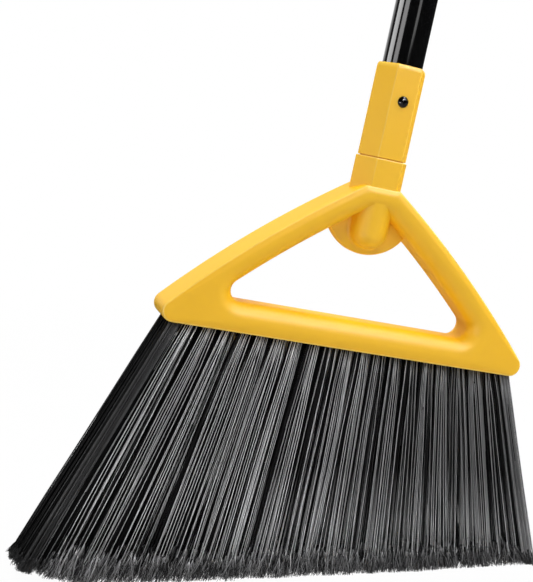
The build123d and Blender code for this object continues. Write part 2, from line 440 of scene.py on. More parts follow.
def combined(name, solid, *steps):
    """Mesh of a solid after joining or cutting it with others, in order, as (operation, mesh)."""
    base = placed(name, solid)
    others = []
    for operation, mesh in steps:
        other = placed(mesh.name, mesh)
        change = base.modifiers.new(mesh.name, "BOOLEAN")
        change.operation = operation
        change.object = other
        others.append(other)
    bpy.context.view_layer.update()
    mesh = bpy.data.meshes.new_from_object(base.evaluated_get(bpy.context.evaluated_depsgraph_get()))
    mesh.name = name
    carry_rims(mesh, [solid] + [other for operation, other in steps if operation == "UNION"])
    for thing in (base, *others):
        bpy.data.objects.remove(thing)
    return mesh


def carry_rims(mesh, solids):
    """Mark the rims of a combined mesh as they are in the solids it is made of, and no other place."""
    marked = [
        (point.co, mark.value)
        for solid in solids if "rim" in solid.attributes
        for point, mark in zip(solid.vertices, solid.attributes["rim"].data)
    ]
    if not marked:
        return
    places = KDTree(len(marked))
    for index, (place, _) in enumerate(marked):
        places.insert(place, index)
    places.balance()
    for point, mark in zip(mesh.vertices, mesh.attributes["rim"].data):
        _, index, away = places.find(point.co)
        mark.value = marked[index][1] if away < RIM_REACH else 0.0


def moulded(name, mesh, body, *replaced):
    """Piece of yellow plastic, smooth between its sharp edges, with flat faces kept even."""
    mesh.shade_smooth()
    mesh.set_sharp_from_angle(angle=SHARP_ANGLE)
    piece = new_piece(name, mesh, body, "yellow_plastic", yellow_plastic(), *replaced)
    even = piece.modifiers.new("Even shading", "WEIGHTED_NORMAL")
    even.keep_sharp = True


def quarter(steps):
    """Angles of a quarter turn, from 0."""
    return np.linspace(0, pi / 2, steps)


def rim_marks(steps):
    """How much of a rim each place of a quarter turn is: most in the middle, nothing at its ends."""
    return np.sin(np.linspace(0, pi, steps))


def rounding(steps):
    """Angles of a quarter turn, each with how much of a rim it is."""
    return zip(quarter(steps), rim_marks(steps))


# How finely a hexagon's corners and facets are divided, and how strong the painted highlight on its corners is
CORNER_STEPS = 7
FACET_STEPS = 9
CORNER_HIGHLIGHT = 0.3


def hexagon(flats):
    """Places (across, depth) round a hexagon with rounded corners, and how much of a rim each one is."""
    places, rims = [], []
    for corner in range(6):
        middle = corner * pi / 3
        centre = (flats / 2 - HEX_CORNER) / cos(pi / 6)
        turn = middle + np.linspace(-pi / 6, pi / 6, CORNER_STEPS)
        arc = HEX_CORNER * np.stack([np.cos(turn), np.sin(turn)], -1)
        places.append(centre * np.array([cos(middle), sin(middle)]) + arc)
        rims.append(rim_marks(CORNER_STEPS))
        side = middle + pi / 6
        reach = (flats / 2 - HEX_CORNER) * sqrt(1 / 3)
        along = np.linspace(-reach, reach, FACET_STEPS + 2)[1:-1, None]
        facing = np.array([cos(side), sin(side)])
        places.append(flats / 2 * facing + along * np.array([-sin(side), cos(side)]))
        rims.append(np.zeros(FACET_STEPS))
    return np.concatenate(places), np.concatenate(rims)


def hex_ring(flats, up):
    """Hexagonal ring of places on the broom at this height."""
    places, _ = hexagon(flats)
    return np.stack([places[:, 0], np.full(len(places), up), places[:, 1]], -1)


def round_ring(radius, up):
    """Round ring with as many places as a hexagonal one, at the same angles."""
    places, _ = hexagon(FERRULE_FLATS)
    turns = np.arctan2(places[:, 1], places[:, 0])
    return np.stack([radius * np.cos(turns), np.full(len(turns), up), radius * np.sin(turns)], -1)


def front_ring(radius, up, depth, steps):
    """Round ring of places that faces the front, at this height and depth."""
    turn = np.linspace(0, 2 * pi, steps, endpoint=False)
    return at_depth(np.stack([radius * np.cos(turn), up + radius * np.sin(turn)], -1), depth)


def at_depth(places, depth):
    """Ring of these places (across, up), all at one depth."""
    return np.column_stack([places, np.full(len(places), depth)])


def cylinder(name, radius, low, high):
    """Plain round cutter along the handle's axis."""
    return loft(name, [round_ring(radius, low), round_ring(radius, high)])


def block(name, low, high):
    """Plain cutter between two corners on the broom."""
    x, z = (low[0], high[0]), (low[2], high[2])
    ring = [(x[0], z[0]), (x[1], z[0]), (x[1], z[1]), (x[0], z[1])]
    return loft(name, [[(a, up, d) for a, d in ring] for up in (low[1], high[1])])


class BROOM_OT_mould_head(bpy.types.Operator):
    """Mould the head: bowed frame with a rolled window, web, socket boss and hexagonal stub"""

    bl_idname = "broom.mould_head"
    bl_label = "Mould head"

    line_steps = 24
    corner_steps = 12
    side_steps = 40
    roll_steps = 13
    rim_steps = 5
    face_shares = (0.1, 0.3, 0.55, 0.8)
    dome_angles = (86, 78, 69, 60, 50, 40, 30, 20)
    fillet_shares = (1, 0.75, 0.5, 0.3, 0.15, 0.05, 0)
    foot_drop = 0.9
    web_steps = 120
    foot_steps = 28
    # Strength of the painted highlight on the head's outer rims and on the stub's lip
    rim_highlight = 0.45
    lip_highlight = 0.7

    def execute(self, context):
        shape = context.scene.broom_moulding
        slot_corner = Vector((FIELD_LENGTH / 2 + SEAT_GAP, BACKING + SEAT_GAP, FIELD_DEPTH / 2 + SEAT_GAP))
        mesh = combined(
            "head_moulding",
            self.bars(shape),
            ("UNION", self.web(shape)),
            ("UNION", self.boss(shape)),
            ("UNION", self.stub(shape)),
            ("DIFFERENCE", cylinder("socket", SOCKET_RADIUS, SOCKET_FLOOR_UP, SEAM_UP + SPIGOT_LEAD)),
            ("DIFFERENCE", block("slot", (-slot_corner.x, -BACKING, -slot_corner.z), slot_corner)),
        )
        moulded("head_moulding", mesh, "head", "head_frame")
        return {"FINISHED"}

    def outline(self, inset, low, high, corner, peak):
        """Places (across, up) and outward normals of the head's outline, or of the window's."""
        foot, top = Vector((BASE_HALF, 0)), Vector((CROWN_HALF, HEAD_HEIGHT))
        chord = top - foot
        bow = chord.length_squared / (8 * SIDE_BOW) + SIDE_BOW / 2
        centre = (foot + top) / 2 - Vector((chord.y, -chord.x)).normalized() * (bow - SIDE_BOW)
        reach = bow - inset

        def fillet_centre(radius, height):
            return Vector((centre.x + sqrt((reach - radius) ** 2 - (height - centre.y) ** 2), height))

        def arc(middle, radius, start, end, steps):
            turn = np.linspace(start, end, steps)
            normals = np.stack([np.cos(turn), np.sin(turn)], -1)
            return np.array(middle) + radius * normals, normals

        low_middle = fillet_centre(corner, low + corner)
        high_middle = fillet_centre(peak, high - peak)
        leave, arrive = (atan2(*(middle - centre).yx) for middle in (low_middle, high_middle))
        base = np.stack([np.linspace(0, low_middle.x, self.line_steps), np.full(self.line_steps, low)], -1)
        stretches = [
            (base[:-1], np.tile((0.0, -1.0), (self.line_steps - 1, 1))),
            arc(low_middle, corner, -pi / 2, leave, self.corner_steps),
            tuple(part[1:-1] for part in arc(centre, reach, leave, arrive, self.side_steps)),
            arc(high_middle, peak, arrive, pi / 2, self.corner_steps),
        ]
        places, normals = (np.concatenate(part) for part in zip(*stretches))
        flip = np.array([-1.0, 1.0])
        return (
            np.concatenate([places, places[:0:-1] * flip]),
            np.concatenate([normals, normals[:0:-1] * flip]),
        )

    def bars(self, shape):
        """The three bars in one ring: outer wall, rounded rim, crowned face, rolled edge and window wall."""
        outer, outward = self.outline(0, 0, HEAD_HEIGHT, CORNER_RADIUS, CROWN_RADIUS)
        window, into_bar = self.outline(
            SIDE_BAR, BASE_BAR, HEAD_HEIGHT - SIDE_BAR, WINDOW_CORNER, WINDOW_PEAK
        )
        rim, crown = shape.rim_round, shape.face_crown
        front = []
        for turn, mark in rounding(self.rim_steps):
            depth = HEAD_HALF_DEPTH - crown - rim + rim * sin(turn)
            front.append((outer - outward * rim * (1 - cos(turn)), depth, self.rim_highlight * mark))
        face_start, face_end = outer - outward * rim, window + into_bar * WINDOW_ROLL
        for share in self.face_shares:
            place = face_start + (face_end - face_start) * share
            front.append((place, HEAD_HALF_DEPTH - crown * (1 - share) ** 2, 0))
        for turn in quarter(self.roll_steps):
            fall, reach = (1 - max(x, 0) ** (2 / ROLL_FULLNESS) for x in (cos(turn), sin(turn)))
            front.append((window + into_bar * WINDOW_ROLL * reach, HEAD_HALF_DEPTH - WINDOW_ROLL * fall, 0))
        rings, rims = [], []
        for side, half in ((-1, front), (1, front[::-1])):
            for place, depth, mark in half:
                rings.append(at_depth(place, side * depth))
                rims.append([mark])
        return loft("bars", rings, np.array(rims), closed=True)

    def web(self, shape):
        """Round web in the top of the window."""
        edge = shape.web_round
        half = [
            (WEB_RADIUS - edge + edge * sin(turn), WEB_HALF - edge + edge * cos(turn))
            for turn in quarter(self.rim_steps)
        ]
        half += [(radius, -depth) for radius, depth in half[::-1]]
        disc = [front_ring(radius, WEB_UP, depth, self.web_steps) for radius, depth in half]
        inset = 2 * WEB_HALF
        within, _ = self.outline(inset, inset, STUB_ROOT_UP - MM, CORNER_RADIUS, CROWN_RADIUS)
        bounds = [at_depth(within, depth) for depth in (-HEAD_HALF_DEPTH, HEAD_HALF_DEPTH)]
        return combined("web", loft("web_disc", disc), ("INTERSECT", loft("web_bounds", bounds)))

    def boss(self, shape):
        """Closed socket boss: a round pillar with a rounded foot, flared on to the web, front and back."""
        flat = BOSS_HALF_DEPTH - BOSS_HALF_WIDTH
        levels = [flat + BOSS_HALF_WIDTH * sin(radians(angle)) for angle in self.dome_angles]
        levels += [WEB_HALF + shape.boss_fillet * share for share in self.fillet_shares]
        rings = [at_depth(self.boss_contour(shape, level), -level) for level in levels]
        rings += [ring * np.array([1, 1, -1]) for ring in rings[::-1]]
        return loft("boss", rings)

    def boss_contour(self, shape, level):
        """Outline (across, up) of the boss at this depth from the middle of the head."""
        flat = BOSS_HALF_DEPTH - BOSS_HALF_WIDTH
        near = min(max((WEB_HALF + shape.boss_fillet - level) / shape.boss_fillet, 0), 1)
        flare = shape.boss_fillet * (1 - sqrt(1 - near**2))
        width = sqrt(BOSS_HALF_WIDTH**2 - max(level - flat, 0) ** 2) + flare
        past_round = max(level - (BOSS_HALF_DEPTH - BOSS_ROUND), 0)
        foot = BOSS_FOOT_UP + BOSS_ROUND - sqrt(BOSS_ROUND**2 - past_round**2) - flare
        turn = np.linspace(0, pi, self.foot_steps)
        drop = self.foot_drop * width
        arc = np.stack([width * np.cos(turn), foot + drop * (1 - np.sin(turn))], -1)
        return np.concatenate([[(width, BOSS_TOP_UP)], arc, [(-width, BOSS_TOP_UP)]])

    def stub(self, shape):
        """Hexagonal stub with a rounded lip."""
        lip = shape.lip_round
        rings = [hex_ring(STUB_FLATS, STUB_ROOT_UP), hex_ring(STUB_FLATS, SEAM_UP - 2 * lip)]
        rims = [0.0, 0.0]
        for turn, mark in rounding(self.rim_steps):
            rings.append(hex_ring(STUB_FLATS - 2 * lip * (1 - cos(turn)), SEAM_UP - lip + lip * sin(turn)))
            rims.append(self.lip_highlight * mark)
        _, corners = hexagon(STUB_FLATS)
        marks = np.maximum(np.array(rims)[:, None], CORNER_HIGHLIGHT * corners)
        marks[0] = 0
        return loft("stub", rings, marks)


class BROOM_OT_mould_ferrule(bpy.types.Operator):
    """Mould the ferrule: hexagonal sleeve with a soft shoulder, bore, spigot and screw hole"""

    bl_idname = "broom.mould_ferrule"
    bl_label = "Mould ferrule"

    rim_steps = 5
    shoulder_steps = 8
    hole_steps = 32
    # Strength of the painted highlight on the ferrule's lower rim and on its shoulder
    seam_highlight = 0.4
    shoulder_highlight = 0.3

    def execute(self, context):
        seam = context.scene.broom_moulding.seam_round
        wall_foot = SEAM_UP + context.scene.broom_moulding.seam_gap
        wall_top = FERRULE_TOP_UP - SHOULDER_HEIGHT
        spigot_end = SEAM_UP - SPIGOT_LENGTH
        rings = [
            round_ring(SPIGOT_RADIUS - SPIGOT_LEAD, spigot_end),
            round_ring(SPIGOT_RADIUS, spigot_end + SPIGOT_LEAD),
            round_ring(SPIGOT_RADIUS, SEAM_UP),
            hex_ring(FERRULE_FLATS - 2 * SHOULDER_STEP, SEAM_UP),
            hex_ring(FERRULE_FLATS - 2 * SHOULDER_STEP, wall_foot),
        ]
        inside = len(rings)
        marks = [0.0] * inside
        for turn, mark in rounding(self.rim_steps):
            flats = FERRULE_FLATS - 2 * seam * (1 - sin(turn))
            rings.append(hex_ring(flats, wall_foot + seam * (1 - cos(turn))))
            marks.append(self.seam_highlight * mark)
        rings += [hex_ring(FERRULE_FLATS, wall_foot + 2 * seam), hex_ring(FERRULE_FLATS, wall_top - seam)]
        marks += [0.0, 0.0]
        for turn, mark in rounding(self.shoulder_steps):
            flats = FERRULE_FLATS - 2 * SHOULDER_STEP * (1 - cos(turn))
            rings.append(hex_ring(flats, wall_top + SHOULDER_HEIGHT * sin(turn)))
            marks.append(self.shoulder_highlight * mark)
        outside = len(rings)
        rings += [round_ring(FERRULE_BORE, FERRULE_TOP_UP), round_ring(FERRULE_BORE, TUBE_FOOT_UP)]
        marks += [0.0, 0.0]
        _, corners = hexagon(FERRULE_FLATS)
        rims = np.maximum(np.array(marks)[:, None], CORNER_HIGHLIGHT * corners)
        rims[:inside] = rims[outside:] = 0
        mesh = combined("ferrule_sleeve", loft("ferrule_sleeve", rings, rims), ("DIFFERENCE", self.hole()))
        moulded("ferrule_sleeve", mesh, "handle", "ferrule")
        return {"FINISHED"}

    def hole(self):
        """Cutter for the screw's hole in the front wall."""
        ends = [front_ring(SCREW_HOLE, SCREW_UP, depth, self.hole_steps) for depth in (-FERRULE_FLATS, 0.0)]
        return loft("screw_hole", ends)


class BROOM_OT_drill_plate(bpy.types.Operator):
    """Fill the slot under the head with the drilled plate that the tufts are stapled in"""

    bl_idname = "broom.drill_plate"
    bl_label = "Drill tuft plate"

    hole_steps = 16
    hole_depth = 6.5 * MM
    hole_lead = 1 * MM

    def execute(self, context):
        corner = Vector((FIELD_LENGTH / 2, BACKING, FIELD_DEPTH / 2))
        plate = block("plate", (-corner.x, 0, -corner.z), corner)
        pins = self.pins(context.scene.broom_moulding.tuft_hole / 2)
        mesh = combined("tuft_plate", plate, ("DIFFERENCE", pins))
        moulded("tuft_plate", mesh, "head")
        return {"FINISHED"}

    def pins(self, radius):
        """Cutter with one round pin for the blind hole of each tuft."""
        pins = bmesh.new()
        stand = Matrix((ACROSS, BACK, UP)).transposed().to_4x4()
        for rank in range(RANK_COUNT):
            for across, row in tufts_of(rank):
                stand.translation = on_broom(across, (self.hole_depth - self.hole_lead) / 2, row_depth(row))
                bmesh.ops.create_cone(
                    pins, cap_ends=True, segments=self.hole_steps, radius1=radius, radius2=radius,
                    depth=self.hole_depth + self.hole_lead, matrix=stand
                )
        return mesh_from("pins", pins)


class BROOM_OT_dress_handle(bpy.types.Operator):
    """Give the handle its glossy coating over steel, and the cap its black plastic"""

    bl_idname = "broom.dress_handle"
    bl_label = "Dress handle and cap"

    def execute(self, context):
        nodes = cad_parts
        steel = finish_material("Tube steel")
        wear(nodes["handle_coating"], finish_material("Black coating"))
        wear(nodes["handle_tube"], steel)
        wear(nodes["tuft_staples"], steel)
        wear(nodes["hang_cap"], finish_material("Cap plastic"))
        return {"FINISHED"}


class BROOM_OT_fit_screw(bpy.types.Operator):
    """Fit the ferrule's screw, with a domed head and a cross recess"""

    bl_idname = "broom.fit_screw"
    bl_label = "Fit screw"

    profile = (
        (0.0, 1.8), (0.9, 1.74), (1.8, 1.53), (2.6, 1.14), (3.1, 0.72), (3.4, 0.3), (3.5, 0.0),
        (1.75, 0.0), (1.75, -8.2), (0.0, -10.0),
    )
    recess = ((0.28, 0.8, 0.5), (0.46, 2.1, 2.2))
    around = 48
    weld = 0.001 * MM
    sharp_angle = radians(35)

    def execute(self, context):
        blackened = finish_material("Blackened steel")
        shape = bmesh.new()
        line = [shape.verts.new((radius * MM, 0, height * MM)) for radius, height in self.profile]
        edges = [shape.edges.new(pair) for pair in zip(line, line[1:])]
        bmesh.ops.spin(
            shape, geom=line + edges, cent=(0, 0, 0), axis=(0, 0, 1), angle=2 * pi, steps=self.around
        )
        bmesh.ops.remove_doubles(shape, verts=shape.verts, dist=self.weld)
        bmesh.ops.recalc_face_normals(shape, faces=shape.faces)
        solid = mesh_from("screw_solid", shape)
        mesh = combined("ferrule_screw_cross", solid, ("DIFFERENCE", self.cutter()))
        stand = Matrix((ACROSS, UP, -BACK)).transposed().to_4x4()
        stand.translation = on_broom(0, SCREW_UP, -SCREW_SEAT)
        mesh.transform(stand)
        mesh.shade_smooth()
        mesh.set_sharp_from_angle(angle=self.sharp_angle)
        new_piece("ferrule_screw_cross", mesh, "handle", "dark_screw", blackened, "ferrule_screw")
        return {"FINISHED"}

    def cutter(self):
        """Tapered cross that cuts the recess."""
        shape = bmesh.new()
        rings = []
        for half, reach, height in self.recess:
            corners = [(reach, -half), (reach, half), (half, half)]
            for _ in range(3):
                corners += [(-y, x) for x, y in corners[-3:]]
            rings.append([shape.verts.new(Vector((x, y, height)) * MM) for x, y in corners])
        low, high = rings
        shape.faces.new(reversed(low))
        shape.faces.new(high)
        for place in range(len(low)):
            after = (place + 1) % len(low)
            shape.faces.new((low[place], low[after], high[after], high[place]))
        return mesh_from("screw_recess", shape)


class BROOM_OT_plant_bristles(bpy.types.Operator):
    """Plant the tufts, one piece for each rank across the head, with wavy filaments and split tips"""

    bl_idname = "broom.plant_bristles"
    bl_label = "Plant bristles"

    # Sides of a tube, rings of a filament and of a hair, and depth of the roots
    sides = 3
    filament_rings = 6
    hair_rings = 5
    root_depth = 6 * MM
    # Filaments in the layers of a leg, the outermost first, and its width as a share
    outer_lanes, outer_wide = (4, 4, 3), 1.35
    inner_lanes, inner_wide = (4, 4, 4), 1.5
    end_lanes, end_wide = (7, 7, 7), 1.2
    # Chance in how a leg stands: parting, roots, waves, thickness, and how much calmer it strays in depth
    parting_range = (0.75, 1.05)
    parting_length_range = (0.25, 1)
    root_stray = 0.2 * MM
    turn_range = (0.6, 1.6)
    swing_range = (0.3, 1.0)
    shared_turns = 0.9
    thickness_range = (0.8, 1.2)
    calm = 3
    depth_spread = 0.9
    # Places along the head, as shares of its half length, and how far there outer rows bulge and tips run on
    bulge = (-1, -0.6, 0.4, 1), (0, 0.8 * MM, 3.2 * MM, 1.0 * MM)
    longer_tips = (-0.92, -0.78), (4 * MM, 9 * MM)
    longer_end_tips = (6 * MM, 8 * MM, 10 * MM, 12 * MM, 14 * MM)
    end_inset = 0.8 * MM
    end_stoutness = 1.4
    # Split tips: length along the head, flare, crimp, lean, taper and clearance of the floor, where the
    # evenness and the calm divide what chance gives
    body_trim = 3
    split_shares = (-1, -0.4), (1.4, 1)
    split_evenness = 5
    least_split = 6 * MM
    end_split = 0.6
    end_flare = (0.35, 1.0)
    inner_hairs = 5
    flare_calm = 1.6
    flare_bend = 1.3
    crimp_evenness = 7
    tip_lean = 1.2 * MM
    tip_overhang = 2.2 * MM
    hair_taper = (1.1, 0.8)
    floor_clearance = 0.15 * MM
    # Share of pale filaments by row, a painted highlight on the front layer with painted shade on the filaments
    # behind it, and tones along the head that are painted sheen
    pale_places = (-0.9, -0.4, 0.3)
    outer_highlight_share = (0.95, 0.85, 0.72)
    second_highlight_share = (0.3, 0.5, 0.75)
    third_highlight_share = (0.05, 0.15, 0.4)
    hidden_pale_under_shade = 0.08
    painted_sheen = (-1, -0.94, -0.89, -0.3, 0.1, 0.35, 0.92, 0.95), (0.065, 0.08, 1.0, 0.72, 0.62, 0.45, 0.4, 0.22)
    least_tone = 0.4
    dark_tone = 0.012
    # Painted highlight low on the filaments and in the tips: gain there, and dark filaments that turn pale
    # there
    late_places = (-0.8, -0.5, 0.0)
    late_start = 0.74
    lower_painted_gain = (1.3, 2.0, 3.4)
    late_painted_pale = (0.0, 0.0, 0.5)
    late_painted_tone = 2.0
    tip_painted_gain = (1.0, 1.0, 1.5)
    pale_hairs = 0.5
    hair_tones = (0.1, 0.5)
    dark_hair = 0.01
    hair_gain = (0, 0.35, 1), (2.0, 1.0, 0.8)
    split_tone = 0.04

    def execute(self, context):
        shape = context.scene.broom_bristles
        material = self.material(context.scene.broom_finish)
        chance = np.random.default_rng(shape.seed)
        for rank in range(RANK_COUNT):
            last = rank == RANK_COUNT - 1
            node = "tuft_rank_end" if last else f"tuft_rank_{rank + 1:02d}"
            legs = [
                self.leg(shape, chance, side, across, row, (rank == 0) - last)
                for across, row in tufts_of(rank) for side in (-1, 1)
            ]
            mesh = self.mesh_of(node, [part for pair in legs for part in pair])
            new_piece(f"bristles_{node[10:]}", mesh, "head", "black_bristle", material, node)
        return {"FINISHED"}

    def leg(self, shape, chance, side, across, row, inward):
        """Filaments and split hairs of one leg of a tuft that is folded over its staple.

        At the ends of the head the tufts are dense and stray inward only, which is 1 or -1 there and else 0.
        """
        depth = row_depth(row)
        outer = row in (0, ROW_COUNT - 1)
        out = -1 if row < ROW_COUNT / 2 else 1
        lanes = self.end_lanes if inward else self.outer_lanes if outer else self.inner_lanes
        wide = self.end_wide if inward else self.outer_wide if outer else self.inner_wide
        parting = shape.outer_parting if outer and not inward else shape.inner_parting
        parting = parting * chance.uniform(*self.parting_range)
        root, front = [], []
        for layer, columns in enumerate(lanes):
            level = 1 - 2 * layer / (len(lanes) - 1)
            for column in np.linspace(-1, 1, columns) + (layer % 2) / columns:
                root.append((wide * shape.leg_width * column, out * level * shape.leg_depth))
                front.append(layer == 0)
        count = len(root)
        root = np.array(root) + chance.normal(0, self.root_stray, (count, 2))
        front = np.array(front)
        together = chance.normal(0, 1, 2) * (shape.leg_drift, shape.leg_drift / self.calm)
        stray = chance.normal(0, shape.drift, (count, 2)) + together
        if inward:
            stray[:, 0] = inward * np.abs(stray[:, 0]) / self.calm
        across = across + inward * self.end_inset
        share = across / FIELD_HALF
        if outer:
            stray[:, 1] += out * np.interp(share, *self.bulge)
        widening = shape.spread + (0 if inward else shape.end_spread * share**2)
        spread = np.array([widening, self.depth_spread])
        slope = (FAN_LEAN * share + EDGE_FLARE * share**3, DEPTH_SPLAY * depth / (FIELD_DEPTH / 2))
        way = np.array(ACROSS * slope[0] + BACK * slope[1] - UP)
        way = way / np.linalg.norm(way)
        start = np.array(on_broom(across, self.root_depth, depth))
        drop = (start[2] - (root[:, 0] + side * parting) * sin(HANDLE_LEAN)) / -way[2]
        longer = np.interp(share, *self.longer_tips)
        longest = LONGEST_BRISTLE + (self.longer_end_tips[row] if inward else longer)
        length = np.minimum(longest, drop)
        length = length - np.abs(chance.normal(0, self.body_trim * shape.raggedness, count))
        part = self.end_split if inward else np.interp(share, *self.split_shares)
        usual = shape.split_length * part
        split = chance.normal(usual, usual / self.split_evenness, count)
        split = np.clip(split, self.least_split, None)
        phase = chance.uniform(0, 2 * pi, (count, 1, 2))
        turns = chance.uniform(*self.turn_range, (count, 1, 1))
        swing = shape.wave * chance.uniform(*self.swing_range, (count, 1, 2))
        shared_phase = chance.uniform(0, 2 * pi, 2)
        parting_length = shape.parting_length * chance.uniform(*self.parting_length_range)

        def along(distance):
            """Points of every filament at these distances from its root, as (filament, ring, xyz)."""
            far = distance[..., None] / BASE_HEIGHT
            parted = np.clip(distance / parting_length, 0, 1)
            parted = parted * parted * (3 - 2 * parted)
            centre = side * (shape.root_parting + (parting - shape.root_parting) * parted)
            centre = np.stack([centre, np.zeros_like(centre)], -1)
            aside = (root[:, None] + centre) * (1 + spread * far) + stray[:, None] * far**2
            sway = swing * np.sin(2 * pi * turns * far + phase)
            sway = sway + shape.wave * np.sin(2 * pi * self.shared_turns * far + shared_phase)
            aside = aside + sway * np.minimum(far * 2, 1)
            return moved(start + way * distance[..., None], aside)

        body_length = (length - split)[:, None]
        body = along(body_length * np.linspace(0, 1, self.filament_rings))
        thick = np.where(front & outer, shape.outer_diameter, shape.filament_diameter) / 2
        if inward:
            thick = np.full(count, self.end_stoutness * shape.filament_diameter / 2)
        thick = (thick * chance.uniform(*self.thickness_range, count))[:, None] * np.ones(body.shape[:2])
        # Painted light in each filament's grey: pale front filaments as painted highlights, dark hidden ones as
        # painted shade, scaled by painted sheen along the head
        painted_sheen = np.interp(share, *self.painted_sheen)
        second = row in (1, ROW_COUNT - 2)
        front_highlight_share = self.outer_highlight_share if outer else self.second_highlight_share if second else self.third_highlight_share
        front_highlight_share = np.interp(share, self.pale_places, front_highlight_share)
        pale = chance.uniform(0, 1, count) < np.where(front, front_highlight_share, self.hidden_pale_under_shade)
        bright = painted_sheen * chance.uniform(self.least_tone, 1, count)
        dark = chance.uniform(0, 1, count)
        tone = np.where(pale, bright, self.dark_tone * dark)
        # Painted highlight low down: the grey gains towards the tips and some dark filaments turn pale
        lower = np.interp(np.linspace(0, 1, self.filament_rings), (self.late_start, 1), (0, 1))
        gain = np.interp(share, self.late_places, self.lower_painted_gain)
        late = ~pale & (dark < np.interp(share, self.late_places, self.late_painted_pale))
        tone = tone[:, None] * (1 + (gain - 1) * lower) + (late * bright)[:, None] * self.late_painted_tone * lower
        filaments = (body, thick, tone, np.zeros(body.shape[:2]))

        hairs = shape.split_hairs if outer else self.inner_hairs
        step = np.linspace(0, 1, self.hair_rings)
        reach = body_length[:, None] + split[:, None, None] * step + np.zeros((1, hairs, 1))
        line = along(reach.reshape(count, -1)).reshape(count, hairs, self.hair_rings, 3)
        flare = shape.split_flare, shape.split_flare / self.flare_calm
        flare = chance.normal(0, 1, (count, hairs, 1, 2)) * flare
        if inward:
            flare = self.end_flare * flare
        crimp = chance.normal(0, shape.split_flare / self.crimp_evenness, (count, hairs, self.hair_rings, 2))
        aside = flare * step[:, None] ** self.flare_bend + crimp * np.minimum(2 * step, 1)[:, None]
        aside[..., 1] = out * np.minimum(out * aside[..., 1] + self.tip_lean * step, self.tip_overhang)
        line = moved(line, aside)
        trimmed = drop < longest
        trim = np.abs(chance.normal(0, shape.raggedness, (count, hairs)))
        rest = np.where(trimmed[:, None], line[:, :, -1, 2] - trim, -trim) / -way[2]
        line = line + way * (rest[..., None] * step)[..., None]
        line[..., 2] = np.maximum(line[..., 2], self.floor_clearance)
        line = line.reshape(count * hairs, self.hair_rings, 3)
        taper = np.linspace(*self.hair_taper, self.hair_rings)
        fine = shape.split_diameter / 2 * np.broadcast_to(taper, line.shape[:2])
        # Pale split hairs carry the painted sheen along the head and the painted gain of the tips
        pale = chance.uniform(0, 1, count * hairs) < self.pale_hairs
        hair_tone = np.where(pale, painted_sheen * chance.uniform(*self.hair_tones, count * hairs), self.dark_hair)
        hair_tone = hair_tone * np.interp(share, self.late_places, self.tip_painted_gain)
        hair_tone = hair_tone[:, None] * np.interp(step, *self.hair_gain)
        tips = (line, fine, hair_tone, np.broadcast_to(self.split_tone * step, line.shape[:2]))
        return filaments, tips

    def mesh_of(self, name, tubes):
        """One mesh of closed tubes, with each one's grey and painted sheen, how far its tip is split, and a map
        for baking.
        """
        points, faces, tones, splits, maps = [], [], [], [], []
        total = sum(len(paths) for paths, *_ in tubes)
        offset = column = 0
        turn = 2 * pi * np.arange(self.sides) / self.sides
        ring = np.outer(np.cos(turn), ACROSS) + np.outer(np.sin(turn), BACK)
        for paths, radii, tone, split in tubes:
            count, rings, _ = paths.shape
            points.append((paths[:, :, None] + radii[..., None, None] * ring).reshape(-1, 3))
            tones.append(np.repeat(tone.ravel(), self.sides))
            splits.append(np.repeat(split.ravel(), self.sides))
            index = offset + np.arange(count * rings * self.sides).reshape(count, rings, self.sides)
            beside = np.roll(index, -1, axis=2)
            walls = np.stack([index[:, :-1], index[:, 1:], beside[:, 1:], beside[:, :-1]], -1)
            faces += walls.reshape(-1, 4).tolist()
            faces += index[:, 0].tolist()
            faces += index[:, -1, ::-1].tolist()
            left = (column + np.arange(count)[:, None] + np.arange(self.sides) / self.sides) / total
            right = left + 1 / (self.sides * total)
            low = np.arange(rings - 1) / (rings - 1)
            high = low + 1 / (rings - 1)
            over = np.stack([left, left, right, right], -1)[:, None]
            along = np.stack([low, high, high, low], -1)[:, None]
            maps.append(np.stack(np.broadcast_arrays(over, along), -1).reshape(-1, 2))
            for end in (0.0, 1.0):
                middle = (column + (np.arange(count) + 0.5)) / total
                maps.append(np.repeat(np.stack([middle, np.full(count, end)], -1), self.sides, 0))
            offset += count * rings * self.sides
            column += count
        mesh = bpy.data.meshes.new(name)
        mesh.from_pydata(np.concatenate(points).tolist(), [], faces)
        for label, values in (("tone", tones), ("split", splits)):
            attribute = mesh.attributes.new(label, "FLOAT", "POINT")
            attribute.data.foreach_set("value", np.concatenate(values).astype(np.float32))
        bake_map = mesh.uv_layers.new(name="OFBake", do_init=False)
        bake_map.uv.foreach_set("vector", np.concatenate(maps).astype(np.float32).ravel())
        mesh.shade_smooth()
        return mesh

    def material(self, finish):
        """Black filament plastic: dull, or pale under a glossy skin, filament by filament, where the pale is
        painted highlight and sheen.
        """
        material, tree, shader = new_material("Black bristle")
        tone, split = (
            (add_node(tree, "Attribute", attribute_name=name), "Fac") for name in ("tone", "split")
        )
        share = add_node(tree, "Math", {0: tone, 1: split}, operation="ADD", use_clamp=True)
        colour = add_node(tree, "Mix", {
            "Factor": (share, "Value"),
            COLOUR_A: opaque(finish.bristle), COLOUR_B: opaque(finish.bristle_pale_and_sheen),
        }, data_type="RGBA")
        skin = add_node(tree, "MapRange", {"Value": tone, "From Min": 0.02, "From Max": 0.25})
        grain = group_node(tree, "Grain", {"Scale": 2500.0})
        bump = add_node(tree, "Bump", {"Distance": 0.02 * MM, "Height": (grain, "Height")})
        feed(tree, shader, {
            "Base Color": (colour, MIXED_COLOUR), "Roughness": 0.8, "Specular IOR Level": 0.1,
            "Coat Weight": (skin, "Result"), "Coat Roughness": 0.25, "Coat IOR": 1.7,
            "Normal": (bump, "Normal"),
        })
        return material


